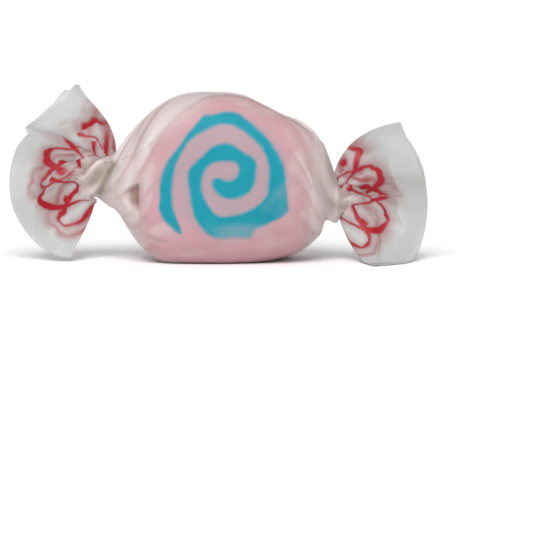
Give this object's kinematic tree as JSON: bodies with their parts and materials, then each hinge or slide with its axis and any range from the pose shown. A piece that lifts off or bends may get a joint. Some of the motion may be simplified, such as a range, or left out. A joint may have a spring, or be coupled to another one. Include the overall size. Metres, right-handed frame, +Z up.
{
  "type": "wrapped salt water taffy",
  "caption": "Lump of pink taffy with a blue swirl running through it, in a translucent waxed paper wrapper twisted shut and fanned out at both ends.",
  "frame": {"origin": "middle of the small flat patch that the lump rests on", "axes": "+X along the wrapper, towards the lower twist; -Y towards the side that shows the swirl; +Z up"},
  "size_m": [0.056, 0.0195, 0.0232],
  "materials": {
    "taffy_pink": "soft satin, pulled sugar",
    "taffy_blue": "soft satin, pulled sugar",
    "waxed_paper": "translucent, waxed, creased"
  },
  "bodies": {
    "root": {"taffy_pink": "taffy_pink", "taffy_blue_swirl": "taffy_blue", "waxed_paper": "waxed_paper"}
  },
  "joints": []
}
